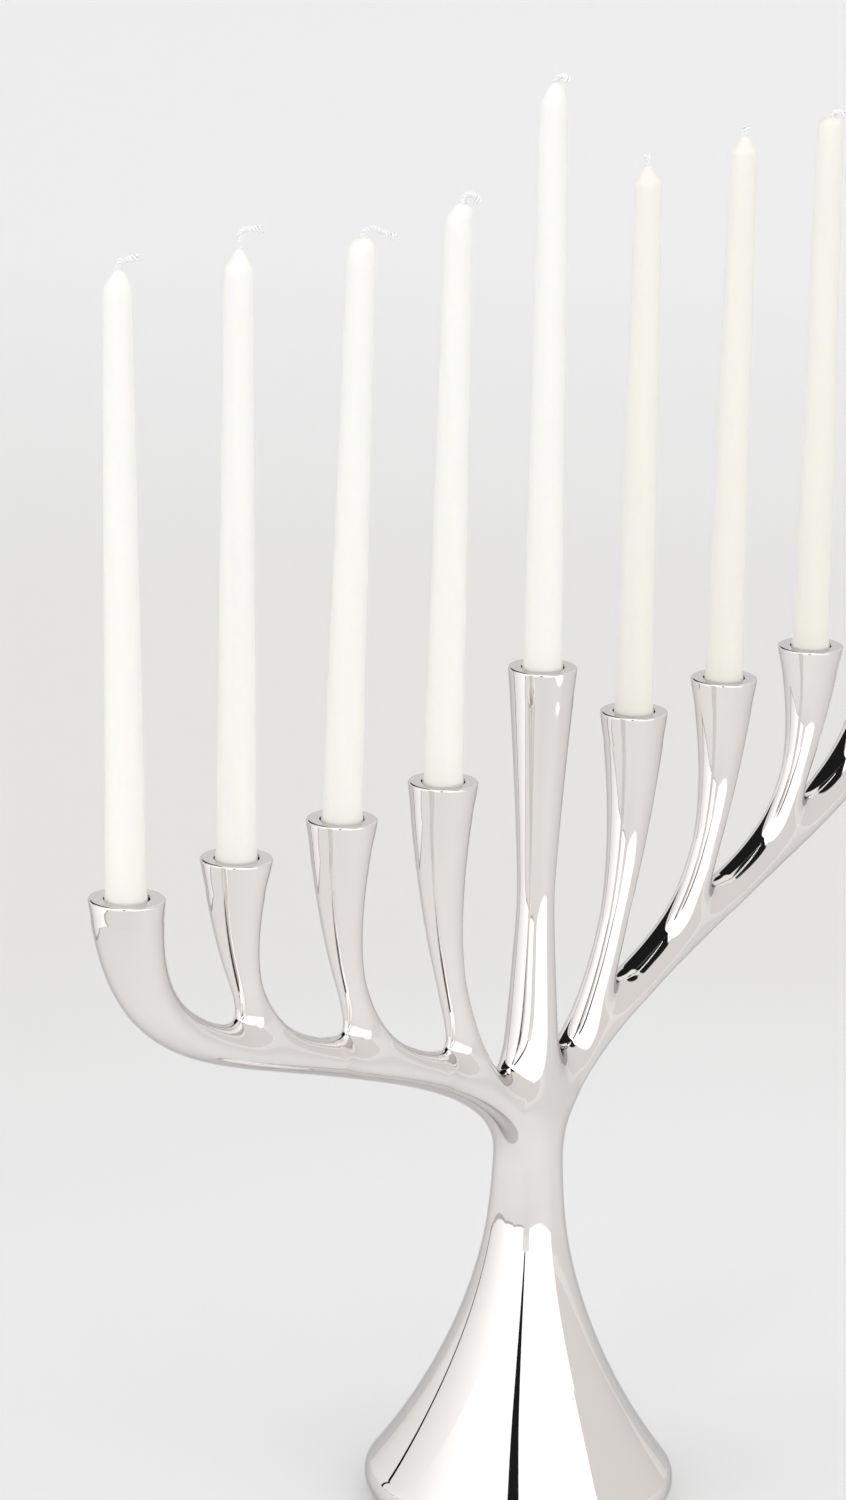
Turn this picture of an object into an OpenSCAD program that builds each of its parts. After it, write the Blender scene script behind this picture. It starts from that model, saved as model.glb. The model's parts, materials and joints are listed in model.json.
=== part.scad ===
// Nine-light menorah cast in one piece, with nine taper candles standing in its cups.
// Millimetres. X runs along the row of cups, Z is up, and the foot stands on z = 0.

/* [Row of cups] */
// Distance between the axes of neighbouring cups
cup_pitch = 41.3; // [38:0.1:45]
// Height of the rims of the eight cups in the row
row_height = 198; // [180:1:215]
// Height of the rim of the middle cup, for the shamash
shamash_height = 218; // [204:1:235]
// Rim diameter of a cup
cup_diameter = 17; // [15.5:0.1:18]
// Rim diameter of the cup at each end of the row
end_cup_diameter = 17.7; // [16:0.1:18.5]

/* [Sockets] */
// Diameter of the hole that holds a candle
socket_diameter = 10.6; // [10.5:0.1:11.5]
// Depth of that hole below the rim
socket_depth = 12; // [9:0.5:14]

/* [Boughs and arms] */
// Narrowest radius of an arm, above its root
arm_neck_radius = 3.6; // [3:0.1:5]
// Narrowest radius of the middle arm
middle_neck_radius = 4.55; // [4:0.05:6]
// Half height of a bough between its arms
bough_half_height = 4.3; // [3.6:0.1:5.5]
// Half depth of a bough, front to back, between its arms
bough_half_depth = 5.4; // [4:0.1:7]

/* [Foot] */
// Widest diameter of the foot
foot_diameter = 78; // [70:1:90]
// Radius of the rounded lip round the foot
foot_lip_radius = 6; // [4:0.5:7]
// Diameter of the stem at its waist
waist_diameter = 17.9; // [16:0.1:21]
// Height of the waist
waist_height = 87; // [80:1:92]
// Diameter of the felt pad under the foot
pad_diameter = 62; // [50:1:66]
// Thickness of the felt pad
pad_thickness = 1.5; // [1:0.1:3]

/* [Candles] */
// Diameter of a candle at its bottom end
candle_diameter = 9.7; // [9:0.1:9.8]
// Diameter of a candle at the shoulder below its tip
shoulder_diameter = 6.7; // [5.5:0.1:8]
// Diameter of a wick
wick_diameter = 1.4; // [1:0.1:2]

/* [Hidden] */

$fn = 64;
METAL = "gainsboro";
WAX = "ivory";
WICK = "white";
FELT = "dimgray";

// The places in the row are numbered from 0 at the -X end, and the middle one is the shamash.
MIDDLE = 4;
LAST = 8;
ROW_PLACES = [0, 1, 2, 3, 5, 6, 7, 8];
function place_x(place) = (place - MIDDLE) * cup_pitch;
function rim_z(place) = place == MIDDLE ? shamash_height : row_height;
function rim_radius(place) = (place == 0 || place == LAST ? end_cup_diameter : cup_diameter) / 2;

// Foot: the pad stands a little proud of the lip, and sits in a slightly wider recess.
pad_proud = 0.5;
pad_fit = 0.25;
foot_radius = foot_diameter / 2;
waist_radius = waist_diameter / 2;
lip_z = pad_proud + foot_lip_radius;
lip_upper_angle = 38;
lip_lower_angle = -75;

// Middle column above the waist: narrow at the neck, wider again at the cup.
neck_z = shamash_height - 60;
cup_flare_power = 1.3;

// Cups: the top of each arm is turned, with a slightly softened edge. The path of an arm
// ends inside its cup, a little thinner than the wall of the cup.
cup_height = 9;
end_cup_height = 6;
path_end_below_rim = 4;
path_inset = 0.08;
rim_edge = 0.5;
column_steps = 18;

// Sweeps: rings round each path, and rings along it.
ring_sides = 16;
arm_rings = 11;
bough_rings = 22;
wick_sides = 8;

// Each bough is two Bezier stretches: out of the stem, then up into the end cup.
bough_middle = [2.06 * cup_pitch, row_height - 59];
bough_out = [
    [0, waist_height - 3], [4, waist_height + 25],
    [0.85 * cup_pitch, row_height - 75], bough_middle
];
bough_up = [
    bough_middle, [3.27 * cup_pitch, row_height - 43],
    [3.95 * cup_pitch, row_height - 38], [4 * cup_pitch, row_height]
];
root_half_height = 6.2;
root_half_depth = 7.8;
bough_flare_power = 2.8;
bough_end = 1.95;

// Where on the bough each arm has its root, from 0 at the stem to 2 at the end cup,
// and how far its first stretch leans outwards, for the three arms from the middle out.
arm_root_at = [0.5, 0.86, 1.15];
arm_lean = [0.47, 0.66, 0.65];
arm_rise = 0.23;
arm_shoulder = 0.6;
arm_bulge = 0.035;
arm_neck_at = 0.65;
arm_root_flare = 1;

// Candles: how high the wax stands above each rim, how far the tip tapers, and how the
// candle leans in its loose socket. Leans are in degrees towards lean_heading.
wax_height = [145, 143.3, 139.5, 141.5, 144.6, 138.5, 140, 139, 141];
tip_height = [4.5, 3, 4.5, 3.5, 5, 3.5, 3, 2.5, 4];
tip_radius = [1.3, 1.6, 2.2, 1.8, 1.5, 1.5, 1.6, 2, 1.6];
lean = [-1.5, -0.75, 0.65, 0.1, -0.55, -0.35, 0, -0.15, 0.4];
lean_heading = -54.5;
candle_foot_gap = 0.2;
candle_chamfer = 0.6;
wick_fit = 0.02;

// Wicks: length straight up from the wax, the angle of the bend, and the length after it.
wick_straight = [0.5, 3, 0.1, 0.4, 0.2, 1.2, 1, 0.3, 0.8];
wick_bend = [75, 90, 112, 160, 155, -20, 12, 95, 50];
wick_tail = [3.6, 3.8, 4.8, 1, 0.8, 1, 1.2, 2.2, 3];
wick_bend_radius = [1.5, 1.5, 2.3, 1.7, 1.3, 1.5, 1.5, 1, 1.5];
wick_bend_steps = 6;

function bezier(p, t) =
    pow(1 - t, 3) * p[0] + 3 * t * pow(1 - t, 2) * p[1]
    + 3 * t * t * (1 - t) * p[2] + pow(t, 3) * p[3];
function mix(a, b, t) = a + (b - a) * t;
function unit(v) = v / norm(v);

// A point on the bough, for s from 0 at the stem to 2 at the end cup.
function bough_point(s) = s < 1 ? bezier(bough_out, s) : bezier(bough_up, s - 1);
function bough_height(s) =
    s < 1 ? mix(root_half_height, bough_half_height, sqrt(s))
    : mix(bough_half_height, end_cup_diameter / 2, pow(s - 1, bough_flare_power));
function bough_depth(s) =
    s < 1 ? mix(root_half_depth, bough_half_depth, sqrt(s))
    : mix(bough_half_depth, end_cup_diameter / 2, pow(s - 1, bough_flare_power));

// Radius of a flared arm at a height, from its neck to its cup.
function flare(z, neck, rim, neck_r, rim_r) =
    neck_r + (rim_r - neck_r) * pow(max(0, (z - neck) / (rim - neck)), cup_flare_power);

// Radius of the middle column above the waist.
function column_radius(z) =
    z > neck_z
    ? flare(z, neck_z, shamash_height, middle_neck_radius, cup_diameter / 2)
    : mix(middle_neck_radius, waist_radius, pow((neck_z - z) / (neck_z - waist_height), 1.1));

// Outline of the foot, stem, middle arm and middle cup, from the lip up to the rim.
lip_centre = [foot_radius - foot_lip_radius, lip_z];
lip_top = lip_centre + foot_lip_radius * [cos(lip_upper_angle), sin(lip_upper_angle)];
trumpet = [
    lip_top, lip_top + 21 * [-sin(lip_upper_angle), cos(lip_upper_angle)],
    [waist_radius, waist_height - 30], [waist_radius, waist_height]
];
column_outline = concat(
    [[0, pad_proud]],
    [for (a = [lip_lower_angle:12:lip_upper_angle])
        lip_centre + foot_lip_radius * [cos(a), sin(a)]],
    [for (t = [0:1 / column_steps:0.999]) bezier(trumpet, t)],
    [for (k = [0:column_steps])
        let (z = mix(waist_height, shamash_height - cup_height, k / column_steps))
        [column_radius(z), z]],
    [[0, shamash_height - cup_height]]
);

// Sweeps a closed ring along a path in the XZ plane. a is the half width in that plane
// and b the half depth along Y, one value for each point of the path.
module sweep(path, a, b, sides) {
    last = len(path) - 1;
    rings = [for (i = [0:last])
        let (t = unit(path[min(i + 1, last)] - path[max(i - 1, 0)]))
        for (k = [0:sides - 1])
            let (u = a[i] * cos(360 * k / sides), v = b[i] * sin(360 * k / sides))
            [path[i][0] + t[1] * u, v, path[i][1] - t[0] * u]];
    walls = [for (i = [0:last - 1], k = [0:sides - 1])
        let (n = (k + 1) % sides)
        [i * sides + k, (i + 1) * sides + k, (i + 1) * sides + n, i * sides + n]];
    start = [for (k = [0:sides - 1]) k];
    finish = [for (k = [sides - 1:-1:0]) last * sides + k];
    polyhedron(points = rings, faces = concat([start], walls, [finish]), convexity = 4);
}

// The turned top of an arm, from the rim down to where its wall has wall_radius.
module cup(place, height, wall_radius) {
    r = rim_radius(place);
    translate([place_x(place), 0, rim_z(place)])
        rotate_extrude()
            polygon([
                [0, -height], [wall_radius, -height], [mix(wall_radius, r, 0.48), -height / 2],
                [r, -rim_edge], [r - rim_edge, 0], [0, 0]
            ]);
}

// One arm, on the +X side: order counts from 0 next to the middle arm.
module arm(order) {
    place = MIDDLE + 1 + order;
    rim = [place_x(place), rim_z(place)];
    root = bough_point(arm_root_at[order]);
    drop = rim[1] - root[1];
    curve = [
        root, root + [arm_lean[order] * (rim[0] - root[0]), arm_rise * drop],
        [rim[0] + arm_bulge * drop, mix(root[1], rim[1], arm_shoulder)], rim
    ];
    neck = rim[1] - arm_neck_at * drop;
    end_t = 1 - path_end_below_rim / (3 * (1 - arm_shoulder) * drop);
    path = [for (i = [0:arm_rings]) bezier(curve, end_t * i / arm_rings)];
    radii = [for (p = path)
        p[1] > neck
        ? flare(p[1], neck, rim[1], arm_neck_radius, rim_radius(place)) - path_inset
        : arm_neck_radius + arm_root_flare * pow((neck - p[1]) / (neck - root[1]), 2)];
    sweep(path, radii, radii, ring_sides);
    wall_radius = flare(rim[1] - cup_height, neck, rim[1], arm_neck_radius, rim_radius(place));
    cup(place, cup_height, wall_radius);
}

// One bough, on the +X side, with the cup at its end.
module bough() {
    s = [for (i = [0:bough_rings]) bough_end * i / bough_rings];
    sweep(
        [for (t = s) bough_point(t)], [for (t = s) bough_height(t)],
        [for (t = s) bough_depth(t)], ring_sides
    );
    cup(LAST, end_cup_height, bough_height(bough_end) + path_inset);
}

module bough_and_arms() {
    bough();
    for (order = [0:2]) arm(order);
}

module column() {
    rotate_extrude() polygon(column_outline);
    cup(MIDDLE, cup_height, column_radius(shamash_height - cup_height));
}

module sockets() {
    for (place = [0:LAST])
        translate([place_x(place), 0, rim_z(place) - socket_depth])
            cylinder(d = socket_diameter, h = socket_depth + 1);
}

module candelabrum_casting() {
    color(METAL)
        difference() {
            union() {
                column();
                bough_and_arms();
                mirror([1, 0, 0]) bough_and_arms();
            }
            sockets();
            translate([0, 0, -1]) cylinder(d = pad_diameter + 2 * pad_fit, h = pad_thickness + 1);
        }
}

module base_felt_pad() {
    color(FELT) cylinder(d = pad_diameter, h = pad_thickness);
}

// Puts a candle's own frame, with its bottom end at z = 0, into its socket.
module seated(place) {
    turn_z = socket_depth / 2;
    translate([place_x(place), 0, rim_z(place) - socket_depth + candle_foot_gap + turn_z])
        rotate([0, 0, lean_heading])
            rotate([0, lean[place], 0])
                rotate([0, 0, -lean_heading])
                    translate([0, 0, -turn_z])
                        children();
}

function candle_length(place) = socket_depth - candle_foot_gap + wax_height[place];

module candle(place) {
    length = candle_length(place);
    shoulder = length - tip_height[place];
    core = wick_diameter / 2 + wick_fit;
    tip = tip_radius[place];
    color(WAX)
        seated(place)
            rotate_extrude()
                polygon([
                    [core, 0], [candle_diameter / 2 - candle_chamfer, 0],
                    [candle_diameter / 2, candle_chamfer],
                    [shoulder_diameter / 2, shoulder],
                    [mix(shoulder_diameter / 2, tip, 0.35), mix(shoulder, length, 0.5)],
                    [tip, length - 0.3], [tip - 0.4, length], [core, length]
                ]);
}

// The wick runs the whole length of the candle and bends over above the wax.
module wick(place) {
    top = candle_length(place) + wick_straight[place];
    r = wick_bend_radius[place] * sign(wick_bend[place]);
    turn = abs(wick_bend[place]);
    bend = [for (k = [1:wick_bend_steps])
        let (a = turn * k / wick_bend_steps)
        [r * (1 - cos(a)), top + abs(r) * sin(a)]];
    tail = bend[wick_bend_steps - 1] + wick_tail[place] * [sign(r) * sin(turn), cos(turn)];
    path = concat([[0, 0], [0, candle_length(place)], [0, top]], bend, [tail]);
    radii = [for (p = path) wick_diameter / 2];
    color(WICK)
        seated(place)
            rotate([0, 0, lean_heading])
                sweep(path, radii, radii, wick_sides);
}

candelabrum_casting();
base_felt_pad();
candle(0);  // candle_1
candle(1);  // candle_2
candle(2);  // candle_3
candle(3);  // candle_4
candle(4);  // shamash_candle
candle(5);  // candle_5
candle(6);  // candle_6
candle(7);  // candle_7
candle(8);  // candle_8
wick(0);  // wick_1
wick(1);  // wick_2
wick(2);  // wick_3
wick(3);  // wick_4
wick(4);  // shamash_wick
wick(5);  // wick_5
wick(6);  // wick_6
wick(7);  // wick_7
wick(8);  // wick_8
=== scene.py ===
"""Nine-light menorah: polished cast metal, nine wax tapers, cotton wicks and a felt pad.

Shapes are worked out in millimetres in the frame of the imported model, and turned into
metres when a mesh is made. X runs along the row of cups and Z is up.
"""

import json
import math
from collections import Counter

import bpy
import numpy as np
from mathutils import Matrix, Vector


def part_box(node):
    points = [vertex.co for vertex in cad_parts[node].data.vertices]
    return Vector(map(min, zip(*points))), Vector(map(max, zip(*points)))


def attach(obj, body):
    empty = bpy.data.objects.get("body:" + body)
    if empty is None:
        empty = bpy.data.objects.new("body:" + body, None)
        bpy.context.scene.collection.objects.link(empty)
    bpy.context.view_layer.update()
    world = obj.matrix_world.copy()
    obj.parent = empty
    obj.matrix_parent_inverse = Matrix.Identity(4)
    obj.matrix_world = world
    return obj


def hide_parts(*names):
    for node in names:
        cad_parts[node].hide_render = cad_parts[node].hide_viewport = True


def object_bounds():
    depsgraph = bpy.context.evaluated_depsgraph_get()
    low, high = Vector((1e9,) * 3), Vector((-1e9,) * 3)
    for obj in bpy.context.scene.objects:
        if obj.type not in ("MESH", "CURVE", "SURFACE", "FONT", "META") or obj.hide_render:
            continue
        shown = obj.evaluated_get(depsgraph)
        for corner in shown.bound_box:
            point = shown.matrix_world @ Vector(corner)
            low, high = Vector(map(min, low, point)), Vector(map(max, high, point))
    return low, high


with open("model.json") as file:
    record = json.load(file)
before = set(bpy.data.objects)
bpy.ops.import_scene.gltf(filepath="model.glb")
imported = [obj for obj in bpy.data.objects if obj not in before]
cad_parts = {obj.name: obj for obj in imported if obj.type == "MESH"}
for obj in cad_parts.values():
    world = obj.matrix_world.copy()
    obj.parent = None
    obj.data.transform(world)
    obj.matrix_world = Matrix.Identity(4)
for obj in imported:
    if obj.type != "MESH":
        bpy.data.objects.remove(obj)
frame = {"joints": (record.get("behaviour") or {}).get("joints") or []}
cad_low, cad_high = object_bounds()

MM = 0.001
MENORAH_BODY = "menorah"
CASTING_NODE = "candelabrum_casting"
PAD_NODE = "base_felt_pad"


def node_box(node):
    """Lowest and highest corner of a CAD node, in millimetres."""
    low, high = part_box(node)
    return np.array(low) / MM, np.array(high) / MM


def mix(a, b, t):
    return a + (b - a) * t


def unit(vectors):
    return vectors / np.linalg.norm(vectors, axis=-1, keepdims=True)


def arc_lengths(curve):
    """Length along a curve up to each of its points."""
    steps = np.linalg.norm(np.diff(curve, axis=0), axis=1)
    return np.concatenate([[0], np.cumsum(steps)])


def ring_angles(sides):
    return np.arange(sides) * 2 * np.pi / sides


def smooth_step(t):
    t = np.clip(t, 0, 1)
    return t * t * (3 - 2 * t)


# ---- Driving sizes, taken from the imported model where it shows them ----

casting_low, casting_high = node_box(CASTING_NODE)
pad_low, pad_high = node_box(PAD_NODE)

MIDDLE = 4
LAST = 8
END_CUP_RADIUS = 8.85
CUP_RADIUS = 8.5
SOCKET_RADIUS = 5.3
SOCKET_DEPTH = 12.0
SHAMASH_HEIGHT = casting_high[2]
ROW_DROP = 20.0
ROW_HEIGHT = SHAMASH_HEIGHT - ROW_DROP
CUP_PITCH = (casting_high[0] - END_CUP_RADIUS) / MIDDLE
FOOT_RADIUS = casting_high[1]
WAIST_RADIUS = 8.95
WAIST_HEIGHT = 87.0
NECK_DROP = 60.0
ARM_NECK_RADIUS = 3.6
MIDDLE_NECK_RADIUS = 4.55

# Foot
PAD_PROUD = casting_low[2] - pad_low[2]
PAD_RADIUS = pad_high[0]
PAD_THICKNESS = pad_high[2] - pad_low[2]
PAD_FIT = 0.25
PAD_SIDES = 144
PAD_SEED = 77
PAD_RAGGEDNESS = 0.12
LIP_RADIUS = 6.0
LIP_CENTRE = np.array([FOOT_RADIUS - LIP_RADIUS, PAD_PROUD + LIP_RADIUS])
LIP_UPPER_ANGLE = 38
LIP_LOWER_ANGLE = -75
LIP_RINGS = 22
LIP_STEP = 0.3
FLANK_RINGS = 40
FLANK_END = 0.4
TRUMPET_PULL = 21.0
WAIST_PULL = 30.0

# Cups
FLARE_POWER = 1.3
RIM_EDGE = 0.5
RIM_ARC_START = 18
SOCKET_EDGE = 0.25
SOCKET_CORNER = 0.3
CUP_FADE = 5.0
WALL_RINGS = 12
CREASE = 0.05

# Fillets where bars meet
STEM_FILLET = 28.0
ARM_FILLET = 16.0
FACING_POWER = 1.5
SEAM = 2.5
PROFILE_SOFTNESS = 4.0

# Points on each curve
CURVE_STEPS = 300
TRUMPET_STEPS = 400

# The net of the branching part
NET_STEP = 0.775
NET_DEPTH = 13.0
NET_MARGIN = 3.0
STEM_CUT = 68.0
CUP_CUT = 8.5
END_CUP_CUT = 5.5
STEM_REACH = 30.0
SAMPLE_STEP = 0.25
COARSE_SAMPLES = 8
FAR = 50.0


def cup_x(place):
    return (place - MIDDLE) * CUP_PITCH


def rim_z(place):
    return SHAMASH_HEIGHT if place == MIDDLE else ROW_HEIGHT


def rim_radius(place):
    return END_CUP_RADIUS if place in (0, LAST) else CUP_RADIUS


# ---- Curves and profiles ----

def bezier(points, t):
    """Points on a cubic Bezier curve for an array of t."""
    p = np.asarray(points, float)
    t = np.asarray(t, float)[:, None]
    near = (1 - t) ** 3 * p[0] + 3 * t * (1 - t) ** 2 * p[1]
    return near + 3 * t ** 2 * (1 - t) * p[2] + t ** 3 * p[3]


BOUGH_MIDDLE = [2.06 * CUP_PITCH, ROW_HEIGHT - 59]
BOUGH_OUT = [
    [0, WAIST_HEIGHT - 3], [4, WAIST_HEIGHT + 25],
    [0.85 * CUP_PITCH, ROW_HEIGHT - 75], BOUGH_MIDDLE,
]
BOUGH_UP = [
    BOUGH_MIDDLE, [3.27 * CUP_PITCH, ROW_HEIGHT - 43],
    [3.95 * CUP_PITCH, ROW_HEIGHT - 38], [4 * CUP_PITCH, ROW_HEIGHT],
]
BOUGH_ROOT = np.array([5.6, 6.6])
BOUGH_MIDDLE_SIZE = np.array([4.3, 5.4])
BOUGH_FLARE_POWER = 2.8

# The three arms from the middle out. Each leaves the bough along its top: where it starts
# on the bough, how far it keeps to it, how far its shoulder is outside its cup, how long
# its straight part is, and how far below the rim its neck is.
ARM_START = [0.34, 0.70, 1.02]
ARM_LEAD = [8.7, 16.3, 13.8]
ARM_SHOULDER = [2.9, 2.6, 1.9]
ARM_STRAIGHT = [61.2, 56.7, 45.2]
ARM_NECK_DROP = [53.3, 42.6, 34.1]
ARM_OFFSET = 1.1
ARM_TAPER = 0.8
ARM_TAPER_POWER = 8
ARM_ROOT_DEPTH = 1.4


def flare(z, neck, rim, neck_radius, cup_radius):
    """Radius of a bar that opens out from its neck to its cup."""
    t = np.clip((z - neck) / (rim - neck), 0, None)
    return neck_radius + (cup_radius - neck_radius) * t ** FLARE_POWER


def softened(values, step, reach):
    """The same list of values with its sharp changes smoothed over that reach."""
    half = int(3 * reach / step)
    weights = np.exp(-0.5 * (np.arange(-half, half + 1) * step / reach) ** 2)
    ends = np.pad(values, half, mode="reflect", reflect_type="odd")
    return np.convolve(ends, weights / weights.sum(), mode="valid")


def lip_top():
    """Where the foot's flank meets its rounded lip."""
    angle = math.radians(LIP_UPPER_ANGLE)
    return LIP_CENTRE + LIP_RADIUS * np.array([math.cos(angle), math.sin(angle)])


def column_profile():
    """Heights and radii of the foot's flank, the stem and the middle arm."""
    angle = math.radians(LIP_UPPER_ANGLE)
    top = lip_top()
    trumpet = [
        top, top + TRUMPET_PULL * np.array([-math.sin(angle), math.cos(angle)]),
        [WAIST_RADIUS, WAIST_HEIGHT - WAIST_PULL], [WAIST_RADIUS, WAIST_HEIGHT],
    ]
    flank = bezier(trumpet, np.linspace(0, 1, TRUMPET_STEPS))
    z = np.arange(top[1], SHAMASH_HEIGHT, SAMPLE_STEP)
    neck = SHAMASH_HEIGHT - NECK_DROP
    stem = mix(MIDDLE_NECK_RADIUS, WAIST_RADIUS,
               np.clip((neck - z) / (neck - WAIST_HEIGHT), 0, None) ** 1.1)
    top_part = flare(z, neck, SHAMASH_HEIGHT, MIDDLE_NECK_RADIUS, CUP_RADIUS)
    foot = np.interp(z, flank[:, 1], flank[:, 0])
    radius = np.where(z > neck, top_part, np.where(z > WAIST_HEIGHT, stem, foot))
    return z, softened(radius, SAMPLE_STEP, PROFILE_SOFTNESS)


COLUMN_Z, COLUMN_RADIUS = column_profile()


def column_radius(z):
    """Radius of the foot, stem and middle arm at a height."""
    return np.interp(z, COLUMN_Z, COLUMN_RADIUS)


# ---- Distance fields of the branching part ----

class Bar:
    """An elliptical bar along a curve in the XZ plane, with its distance field."""

    def __init__(self, curve, half_height, half_depth):
        arc = arc_lengths(curve)
        self.count = int(arc[-1] / SAMPLE_STEP) + 2
        self.arc = np.linspace(0, arc[-1], self.count)
        self.step = self.arc[1]
        columns = [curve[:, 0], curve[:, 1], half_height, half_depth]
        self.table = np.stack([np.interp(self.arc, arc, c) for c in columns], 1)
        tangent = unit(np.gradient(self.table[:, :2], self.step, axis=0))
        bend = np.gradient(tangent, self.step, axis=0)
        self.table = np.hstack([self.table, tangent, bend])
        reach = max(half_height.max(), half_depth.max()) + STEM_FILLET
        self.low = curve.min(0) - reach
        self.high = curve.max(0) + reach

    def at(self, s):
        """Point, half sizes, direction and bend of the curve at arc lengths."""
        place = np.clip(s / self.step, 0, self.count - 1.001)
        index = place.astype(int)
        share = (place - index)[:, None]
        return self.table[index] * (1 - share) + self.table[index + 1] * share

    def nearest(self, x, z):
        """Arc length of the point of the curve nearest to each point."""
        coarse = self.table[::COARSE_SAMPLES, :2]
        away = (x[:, None] - coarse[:, 0]) ** 2 + (z[:, None] - coarse[:, 1]) ** 2
        s = np.argmin(away, 1) * COARSE_SAMPLES * self.step
        for _ in range(5):
            row = self.at(s)
            dx = x - row[:, 0]
            dz = z - row[:, 1]
            along = dx * row[:, 4] + dz * row[:, 5]
            turn = 1 - (dx * row[:, 6] + dz * row[:, 7])
            s = np.clip(s + along / np.maximum(turn, 0.25), 0, self.arc[-1])
        return s

    def section(self, x, z):
        """What the field needs to know at each point of the XZ plane."""
        near = (x > self.low[0]) & (x < self.high[0]) & (z > self.low[1]) & (z < self.high[1])
        row = self.at(self.nearest(x[near], z[near]))
        return near, x[near] - row[:, 0], z[near] - row[:, 1], row[:, 2], row[:, 3]


def bar_field(section, y):
    """Approximate distance to a bar's surface, and the way out, at each point."""
    near, dx, dz, a, b = section
    y = y[near]
    level = np.sqrt((dx ** 2 + dz ** 2) / a ** 2 + (y / b) ** 2)
    out = np.stack([dx / a ** 2, y / b ** 2, dz / a ** 2])
    steepness = np.maximum(np.sqrt((out ** 2).sum(0)), 1e-4)
    values = np.full(near.shape, FAR)
    slopes = np.zeros((3, len(near)))
    values[near] = level * (level - 1) / steepness
    slopes[:, near] = out / steepness
    return values, slopes


def bough_bar():
    t = np.linspace(0, 1, CURVE_STEPS)
    out = bezier(BOUGH_OUT, t)
    up = bezier(BOUGH_UP, t)[1:]
    swell = t[1:] ** BOUGH_FLARE_POWER
    sizes = []
    for root, middle in zip(BOUGH_ROOT, BOUGH_MIDDLE_SIZE):
        near = mix(root, middle, np.sqrt(t))
        sizes.append(np.concatenate([near, mix(middle, END_CUP_RADIUS, swell)]))
    return Bar(np.vstack([out, up]), *sizes)


def bough_place(s):
    """Point of the bough's centre line, and its direction, at s from 0 to 2."""
    part = BOUGH_OUT if s < 1 else BOUGH_UP
    before, point, after = bezier(part, s % 1 + np.array([-0.001, 0, 0.001]))
    return point, unit(after - before)


def arm_bar(order):
    """One arm on the +X side, counted from the middle arm out."""
    place = MIDDLE + 1 + order
    rim = np.array([cup_x(place), rim_z(place)])
    start, along = bough_place(ARM_START[order])
    root = start + ARM_OFFSET * np.array([-along[1], along[0]])
    curve = bezier([
        root, root + ARM_LEAD[order] * along,
        rim + [ARM_SHOULDER[order], -ARM_STRAIGHT[order]], rim,
    ], np.linspace(0, 1, CURVE_STEPS))
    neck = rim[1] - ARM_NECK_DROP[order]
    z = curve[:, 1]
    below = np.clip((neck - z) / (neck - root[1]), 0, None)
    radius = flare(z, neck, rim[1], ARM_NECK_RADIUS, rim_radius(place))
    height = radius - ARM_TAPER * below ** ARM_TAPER_POWER
    return Bar(curve, height, radius + ARM_ROOT_DEPTH * below ** 2)


BOUGH = bough_bar()
ARMS = [arm_bar(order) for order in range(3)]


def joined(a, b, fillet):
    """Union of two fields: a full fillet where they face each other, a soft seam elsewhere."""
    value_a, slope_a = a
    value_b, slope_b = b
    facing = np.sqrt(np.clip(1 - (slope_a * slope_b).sum(0), 0, 2) / 2)
    reach = mix(SEAM, fillet, facing ** FACING_POWER)
    overlap = np.clip(reach - np.abs(value_a - value_b), 0, None) / reach
    value = np.minimum(value_a, value_b) - reach * overlap ** 3 / 6
    share = smooth_step(0.5 + 0.5 * (value_b - value_a) / reach)
    slope = mix(slope_b, slope_a, share)
    return value, slope / np.maximum(np.sqrt((slope ** 2).sum(0)), 1e-6)


def sections(x, z):
    """Every bar's section at points of the XZ plane, on both sides."""
    return {
        (order, side): bar.section(side * x, z)
        for order, bar in enumerate([BOUGH] + ARMS) for side in (1, -1)
    }


def casting_field(x, y, z, known=None):
    """Approximate distance to the casting's surface between its foot and its cups."""
    known = known or sections(x, z)
    around = np.maximum(np.hypot(x, y), 1e-6)
    column = around - column_radius(z)
    whole = column, np.stack([x / around, y / around, np.zeros_like(z)])
    for (order, side), section in known.items():
        value, slope = bar_field(section, y)
        slope[0] *= side
        whole = joined(whole, (value, slope), ARM_FILLET if order else STEM_FILLET)
    return whole[0]


def field_at(points):
    """The casting's field at rows of X, Y and Z."""
    return casting_field(*points.T)


def gradient(points, reach=0.05):
    """Slope of the casting's field, from steps of that reach both ways."""
    columns = []
    for axis in range(3):
        offset = np.zeros(3)
        offset[axis] = reach
        columns.append((field_at(points + offset) - field_at(points - offset)) / (2 * reach))
    return np.stack(columns, 1)


# ---- Net of the branching part ----

CORNERS = np.array([[i, j, k] for i in (0, 1) for j in (0, 1) for k in (0, 1)])


def cell_edges():
    """The twelve edges of a cell, as pairs of its corners."""
    steps = np.eye(3, dtype=int)
    return [(c, c + step) for step in steps for c in CORNERS if not c @ step]


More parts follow.
